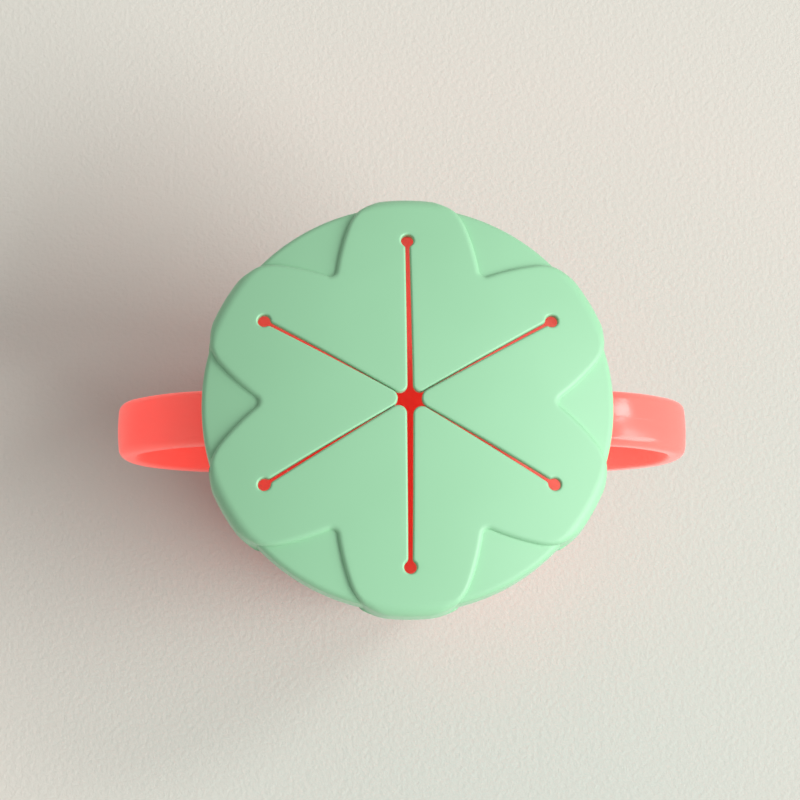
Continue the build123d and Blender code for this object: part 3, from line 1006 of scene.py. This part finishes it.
def silicone():
    """Matt mint silicone: a fine satin grain and slow, faint changes of shade."""
    made, shader = material("mint_silicone")
    tree = made.node_tree
    where = add(tree, "ShaderNodeTexCoord").outputs["Object"]
    cloud = add(tree, "ShaderNodeTexNoise", {"Vector": where, "Scale": 28.0, "Detail": 2.0})
    shade = add(tree, "ShaderNodeMapRange", {0: cloud.outputs["Fac"], 1: 0.3, 2: 0.7,
                                             3: 0.0, 4: 1.0}).outputs[0]
    colour = add(tree, "ShaderNodeMix", {0: shade, 6: (0.312, 0.642, 0.378, 1),
                                         7: (0.328, 0.667, 0.398, 1)}, data_type="RGBA")
    tree.links.new(colour.outputs[2], shader.inputs["Base Color"])
    grain = add(tree, "ShaderNodeTexNoise", {"Vector": where, "Scale": 2600.0,
                                             "Detail": 3.0, "Roughness": 0.6})
    rough = add(tree, "ShaderNodeMapRange", {0: grain.outputs["Fac"], 1: 0.2, 2: 0.8,
                                             3: 0.46, 4: 0.54}).outputs[0]
    tree.links.new(rough, shader.inputs["Roughness"])
    bump = add(tree, "ShaderNodeBump", {"Strength": 0.12, "Distance": 0.00003,
                                        "Height": grain.outputs["Fac"]})
    tree.links.new(bump.outputs[0], shader.inputs["Normal"])
    shader.inputs["IOR"].default_value = 1.5
    shader.inputs["Specular IOR Level"].default_value = 0.7
    shader.inputs["Sheen Weight"].default_value = 0.25
    shader.inputs["Sheen Roughness"].default_value = 0.3
    return made


def coral_plastic():
    """Glossy coral plastic that lets red light through, with a faint parting line.

    It also carries a painted red glow, red light of its own that brightens it, weaker on the
    cup and stronger out on the handles.
    """
    made, shader = material("coral_plastic")
    tree = made.node_tree
    where = add(tree, "ShaderNodeTexCoord").outputs["Object"]
    shader.inputs["Base Color"].default_value = (1.0, 0.232, 0.198, 1)
    shader.inputs["Roughness"].default_value = 0.18
    shader.inputs["IOR"].default_value = 1.5
    shader.inputs["Specular IOR Level"].default_value = 0.75
    shader.inputs["Sheen Weight"].default_value = 0.75
    shader.inputs["Sheen Roughness"].default_value = 0.4
    # Painted red glow: emission that brightens the red, 0.2 on the cup's body and up to 0.5 on
    # the handles
    shader.inputs["Emission Color"].default_value = (1.0, 0.03, 0.025, 1)
    flat = add(tree, "ShaderNodeVectorMath", {0: where, 1: (1, 1, 0)}, operation="MULTIPLY")
    reach = add(tree, "ShaderNodeVectorMath", {0: flat.outputs[0]}, operation="LENGTH")
    painted_red_glow = add(tree, "ShaderNodeMapRange", {0: reach.outputs["Value"], 1: 0.046, 2: 0.060,
                                            3: 0.20, 4: 0.5}).outputs[0]
    tree.links.new(painted_red_glow, shader.inputs["Emission Strength"])
    across = add(tree, "ShaderNodeSeparateXYZ", {0: where}).outputs[1]
    near = add(tree, "ShaderNodeMath", {0: across}, operation="ABSOLUTE").outputs[0]
    ridge = add(tree, "ShaderNodeMapRange", {0: near, 1: 0.0, 2: 0.00022, 3: 1.0, 4: 0.0},
                interpolation_type="SMOOTHSTEP").outputs[0]
    bump = add(tree, "ShaderNodeBump", {"Strength": 0.4, "Distance": 0.00004,
                                        "Height": ridge})
    tree.links.new(bump.outputs[0], shader.inputs["Normal"])
    through = add(tree, "ShaderNodeBsdfTranslucent", {"Color": (1.0, 0.75, 0.68, 1)})
    both = add(tree, "ShaderNodeMixShader", {0: 0.40, 1: shader.outputs[0],
                                             2: through.outputs[0]})
    tree.links.new(both.outputs[0], tree.nodes["Material Output"].inputs["Surface"])
    return made


def paper():
    """Warm white paper with a fine felted tooth.

    Round the cup, which throws red light on it, the paper's colour is painted a little less red
    to take out part of that red light.
    """
    made, shader = material("warm_paper")
    tree = made.node_tree
    where = add(tree, "ShaderNodeTexCoord").outputs["Object"]
    tooth = add(tree, "ShaderNodeTexNoise", {"Vector": where, "Scale": 760.0, "Detail": 4.0,
                                             "Roughness": 0.6})
    slow = add(tree, "ShaderNodeTexNoise", {"Vector": where, "Scale": 9.0, "Detail": 2.0})
    colour = add(tree, "ShaderNodeMix", {0: slow.outputs["Fac"], 6: (0.688, 0.680, 0.612, 1),
                                         7: (0.708, 0.700, 0.632, 1)}, data_type="RGBA")
    # Painted-out reflection: the paper is made less red near the cup to cancel part of the red
    # light the cup throws on it
    away = add(tree, "ShaderNodeVectorMath", {0: where, 1: (0.02, -0.03, 0)},
               operation="DISTANCE").outputs["Value"]
    painted_less_red = add(tree, "ShaderNodeMapRange", {0: away, 1: 0.035, 2: 0.135,
                                                3: 0.84, 4: 1.0}).outputs[0]
    tint = add(tree, "ShaderNodeCombineColor", {0: painted_less_red, 1: 1.0, 2: 1.0}).outputs[0]
    tinted = add(tree, "ShaderNodeMix", {0: 1.0, 6: colour.outputs[2], 7: tint},
                 data_type="RGBA", blend_type="MULTIPLY").outputs[2]
    tree.links.new(tinted, shader.inputs["Base Color"])
    bump = add(tree, "ShaderNodeBump", {"Strength": 0.6, "Distance": 0.0003,
                                        "Height": tooth.outputs["Fac"]})
    tree.links.new(bump.outputs[0], shader.inputs["Normal"])
    shader.inputs["Roughness"].default_value = 0.85
    shader.inputs["Specular IOR Level"].default_value = 0.2
    return made


# ------------------------------------------------------------------ the object
def make_cup():
    """Cup and handles of coral plastic, one body."""
    coral = coral_plastic()
    pieces = {
        "cup_body": cup_body(),
        "handle_right": handle_mesh(1),
        "handle_left": handle_mesh(-1),
    }
    for name, (verts, faces) in pieces.items():
        piece = plain_mesh(name, verts, faces)
        piece.data.materials.append(coral)
        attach(piece, "cup")
        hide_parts("cup")


# angle, tip radius, sag and curl of each flap, lengths in millimetres
FLAPS = {
    "flap_right": (0, 2.3, 0.3, 0.0),
    "flap_back_right": (60, 1.7, 0.7, -0.35),
    "flap_back_left": (120, 1.8, 0.4, 0.0),
    "flap_left": (180, 2.2, 0.3, 0.0),
    "flap_front_left": (240, 2.0, 0.2, 0.0),
    "flap_front_right": (300, 2.0, 0.2, 0.0),
}


def make_lid():
    """Rim and flaps of the soft lid. The rim rides on the lid's body; the flaps are not
    attached to a body.
    """
    mint = silicone()
    tree = petal_tree()
    sizes = {name: float(size) * MM for name, size in PETAL_SIZES.items()}
    common = {**sizes, "Petals": 6, "Material": mint}
    rim = through_tree("lid_rim", rim_sixth().mesh("rim_sixth"), tree,
                       {**common, "Repeats": 6, "Turn": 0.0})
    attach(rim, "lid")
    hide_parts("lid")
    for node, (angle, tip, sag, curl) in FLAPS.items():
        left, right = SLITS[(angle + 30) % 360], SLITS[(angle - 30) % 360]
        shape = flap_shape(left, right, tip, sag, curl)
        piece = through_tree(node.replace("flap", "soft_flap"), shape.mesh(node + "_shape"),
                             tree, {**common, "Repeats": 1, "Turn": radians(angle)})
        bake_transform(piece)
        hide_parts(node)


# ------------------------------------------------------------------ floor, light, camera
def make_floor():
    data = bpy.data.meshes.new("paper_floor")
    far = 3.0
    data.from_pydata([(-far, -far, 0), (far, -far, 0), (far, far, 0), (-far, far, 0)], [],
                     [(0, 1, 2, 3)])
    floor = bpy.data.objects.new("paper_floor", data)
    bpy.context.scene.collection.objects.link(floor)
    data.materials.append(paper())


def lamp(name, turn, rise, distance, size, power):
    """A soft oblong light, round from +X and up by these angles, that faces the cup."""
    data = bpy.data.lights.new(name, "AREA")
    data.shape = "RECTANGLE"
    data.size, data.size_y = size
    data.energy = power
    made = bpy.data.objects.new(name, data)
    bpy.context.scene.collection.objects.link(made)
    made.location = distance * Vector((*polar(cos(rise), turn), sin(rise)))
    made.rotation_euler = (LIT_POINT - made.location).to_track_quat("-Z", "Y").to_euler()


LIT_POINT = Vector((0, 0, 0.05))
# turn, rise, distance, width and height, and power of each light
WINDOW = (radians(-22), radians(35), 6.0, (4.6, 4.0), 375.0)
PANE = (radians(23), radians(48), 1.5, (0.24, 0.36), 3.6)
ROOM_DIM, ROOM_BRIGHT = 0.26, 0.60      # the room's light from -X and from +X


def make_light():
    world = bpy.data.worlds.new("soft_room")
    bpy.context.scene.world = world
    world.use_nodes = True
    tree = world.node_tree
    way = add(tree, "ShaderNodeTexCoord").outputs["Generated"]
    across = add(tree, "ShaderNodeSeparateXYZ", {0: way}).outputs[0]
    level = add(tree, "ShaderNodeMapRange", {0: across, 1: -1.0, 2: 1.0,
                                             3: ROOM_DIM, 4: ROOM_BRIGHT}).outputs[0]
    background = tree.nodes["Background"]
    background.inputs["Color"].default_value = (1.0, 1.0, 1.0, 1)
    tree.links.new(level, background.inputs["Strength"])
    lamp("window", *WINDOW)
    lamp("pane", *PANE)


CAMERA_LEAN = (radians(2.77), radians(12.39))    # towards -X and towards -Y
CAMERA_ROLL = radians(-0.59)
CAMERA_DISTANCE = 0.8505
CAMERA_SCALE = 4251.0       # pixels per metre at the lid's middle
PICTURE = 800
LID_MIDDLE_AT = (409.76, 398.15)


def make_camera():
    data = bpy.data.cameras.new("camera")
    camera = bpy.data.objects.new("camera", data)
    bpy.context.scene.collection.objects.link(camera)
    back = Vector((-np.tan(CAMERA_LEAN[0]), -np.tan(CAMERA_LEAN[1]), 1)).normalized()
    right = Vector((0, 1, 0)).cross(back).normalized()
    up = back.cross(right)
    c, s = cos(CAMERA_ROLL), sin(CAMERA_ROLL)
    right, up = c * right + s * up, c * up - s * right
    turned = Matrix((right, up, back)).transposed().to_4x4()
    turned.translation = Vector((0, 0, CROWN * MM)) + back * CAMERA_DISTANCE
    camera.matrix_world = turned
    data.sensor_width = 36.0
    data.lens = CAMERA_SCALE * CAMERA_DISTANCE / PICTURE * data.sensor_width
    data.shift_x = (PICTURE / 2 - LID_MIDDLE_AT[0]) / PICTURE
    data.shift_y = (LID_MIDDLE_AT[1] - PICTURE / 2) / PICTURE
    data.clip_start, data.clip_end = 0.05, 20.0
    bpy.context.scene.camera = camera
    bpy.context.scene.view_settings.view_transform = "Standard"


make_cup()
make_lid()
make_floor()
make_light()
make_camera()
